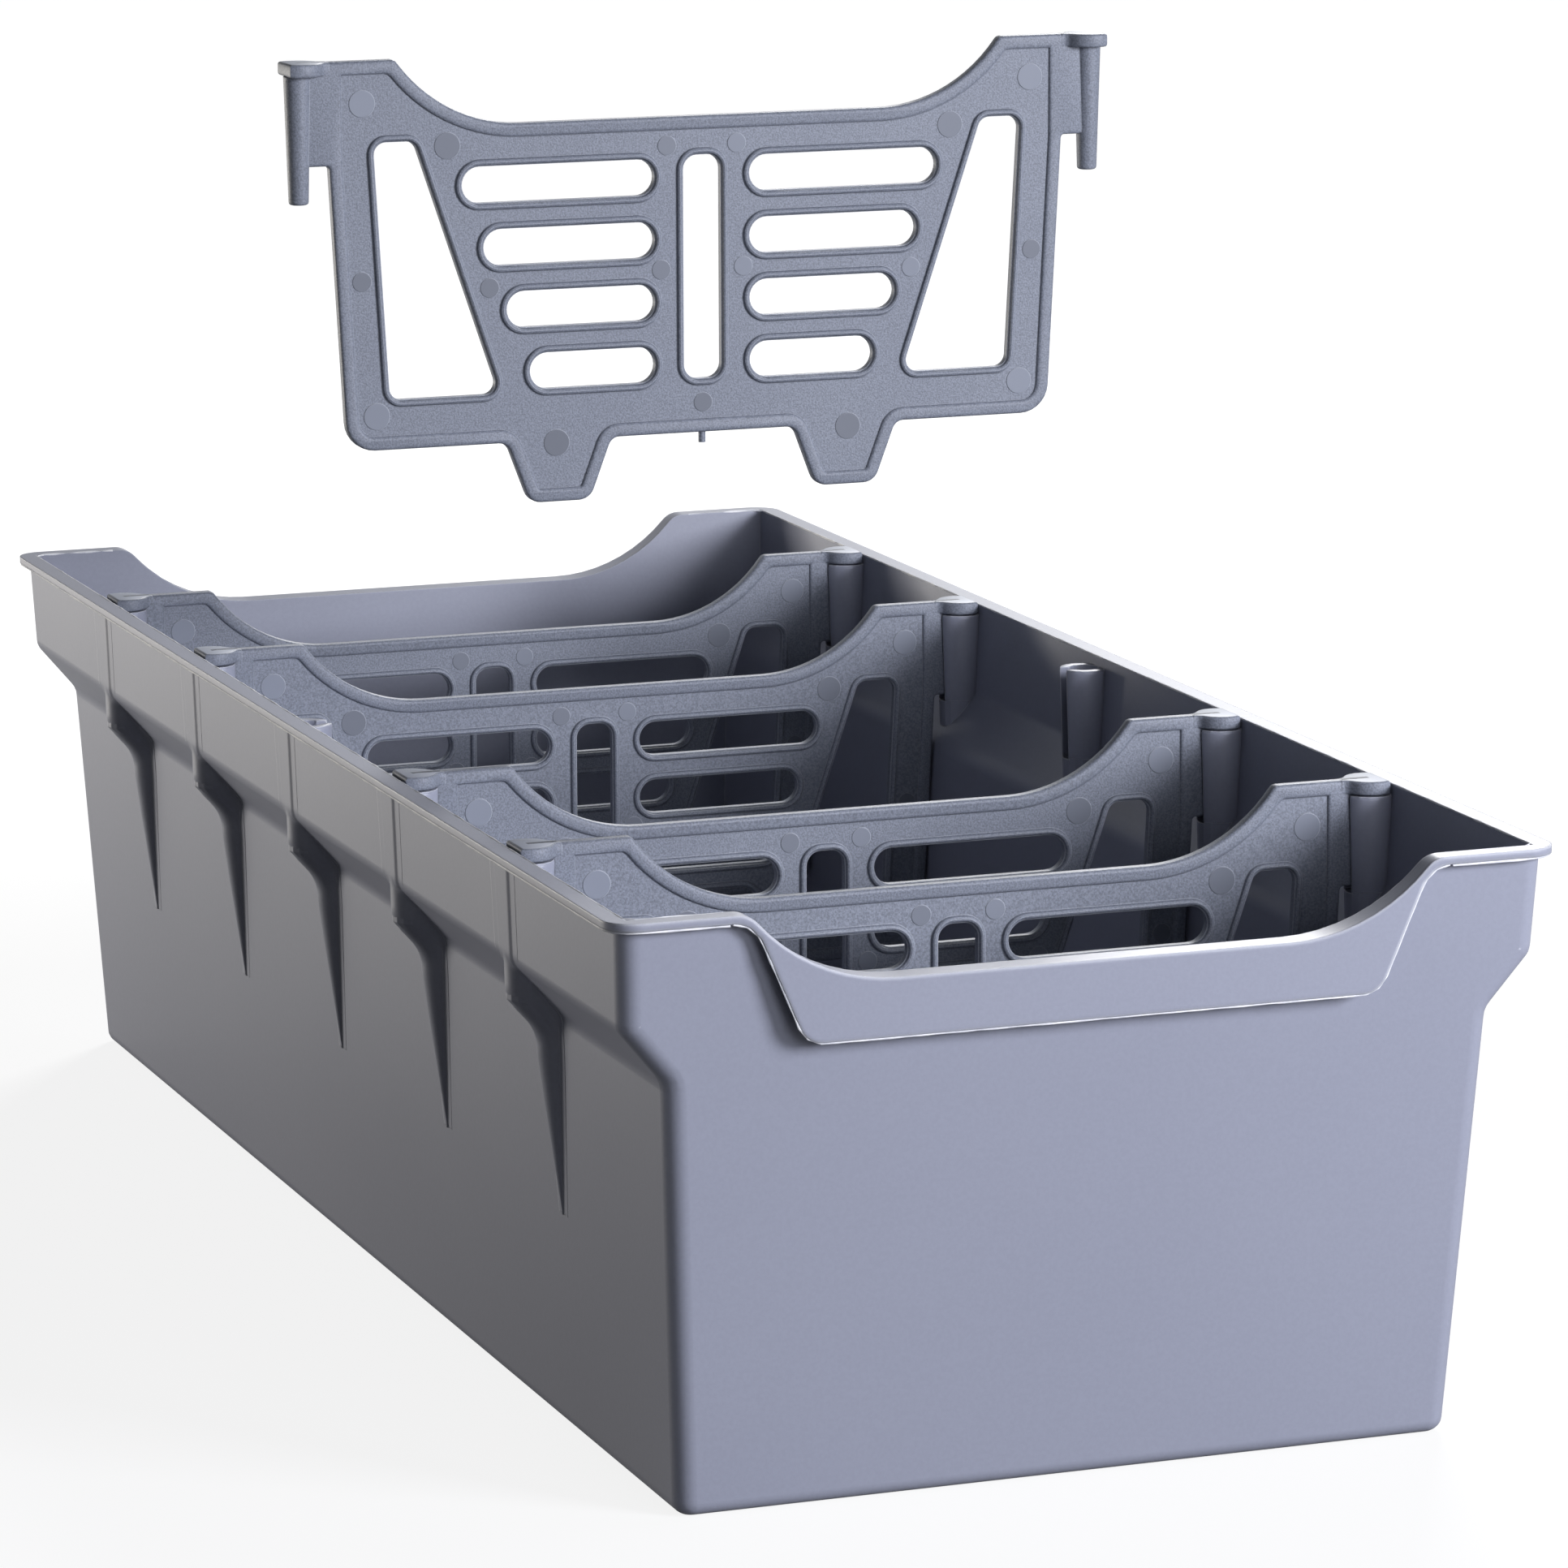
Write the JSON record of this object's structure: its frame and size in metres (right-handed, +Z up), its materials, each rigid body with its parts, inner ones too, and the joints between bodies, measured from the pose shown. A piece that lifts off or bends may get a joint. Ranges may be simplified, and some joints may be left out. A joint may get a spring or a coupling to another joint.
{
  "type": "spice organizer",
  "caption": "Open drawer or shelf bin with a flanged rim and scooped ends, split by lift-out lattice dividers that hang by pins in slit sockets.",
  "frame": {"origin": "middle of the bin's underside, on the surface it stands on", "axes": "+Z up, +Y from the front end to the rear end along the bin's length, +X across it to the right as seen from the front end"},
  "size_m": [0.15, 0.34, 0.1986],
  "materials": {
    "bin_plastic": "satin moulded",
    "divider_plastic": "fine spark-textured"
  },
  "bodies": {
    "bin": {"storage_bin": "bin_plastic"},
    "divider_1": {"divider_1": "divider_plastic"},
    "divider_2": {"divider_2": "divider_plastic"},
    "divider_3": {"divider_3": "divider_plastic"},
    "divider_4": {"divider_4": "divider_plastic"},
    "divider_5": {"divider_5": "divider_plastic"}
  },
  "joints": [
    {"name": "divider_1_lift", "type": "slide", "parent": "bin", "child": "divider_1", "axis": [0, 0, 1], "range_m": [0, 0.106]},
    {"name": "divider_2_lift", "type": "slide", "parent": "bin", "child": "divider_2", "axis": [0, 0, 1], "range_m": [0, 0.106]},
    {"name": "divider_3_lift", "type": "slide", "parent": "bin", "child": "divider_3", "axis": [0, 0, 1], "range_m": [-0.106, 0]},
    {"name": "divider_4_lift", "type": "slide", "parent": "bin", "child": "divider_4", "axis": [0, 0, 1], "range_m": [0, 0.106]},
    {"name": "divider_5_lift", "type": "slide", "parent": "bin", "child": "divider_5", "axis": [0, 0, 1], "range_m": [0, 0.106]}
  ]
}
